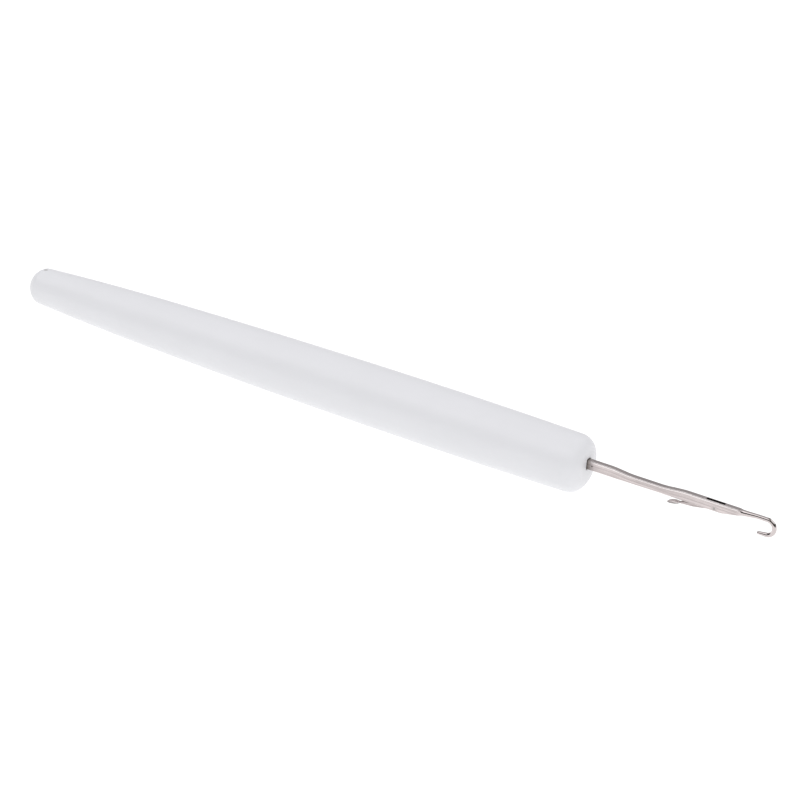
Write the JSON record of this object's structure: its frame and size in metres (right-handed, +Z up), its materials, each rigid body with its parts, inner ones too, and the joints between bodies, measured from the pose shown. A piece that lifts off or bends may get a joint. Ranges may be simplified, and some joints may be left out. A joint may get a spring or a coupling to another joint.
{
  "type": "latch hook tool",
  "caption": "Hand latch hook: a slim round tapered handle holding a flat steel needle with an open hook and a swinging spoon-ended latch that closes over the hook's tip.",
  "frame": {"origin": "middle of the small flat on the handle's butt, on the handle's axis", "axes": "+X along the handle's axis to the hook, +Z up on the needle's back edge, so that the hook opens towards -Z and the latch turns about Y"},
  "size_m": [0.1563, 0.0112, 0.0112],
  "materials": {
    "handle_plastic": "smooth glossy white moulding",
    "needle_steel": "bright plated stamping, tumbled, with a faint lengthwise grain",
    "latch_steel": "bright plated pressing",
    "rivet_steel": "dull punched pin end"
  },
  "bodies": {
    "tool": {"handle": "handle_plastic", "needle": "needle_steel", "latch_rivet": "rivet_steel"},
    "latch": {"latch": "latch_steel"}
  },
  "joints": [
    {"name": "latch_swing", "type": "hinge", "parent": "tool", "child": "latch", "pos_m": [0.1447, 0, 0.00045], "axis": [0, -1, 0], "range_deg": [0, 153]}
  ]
}
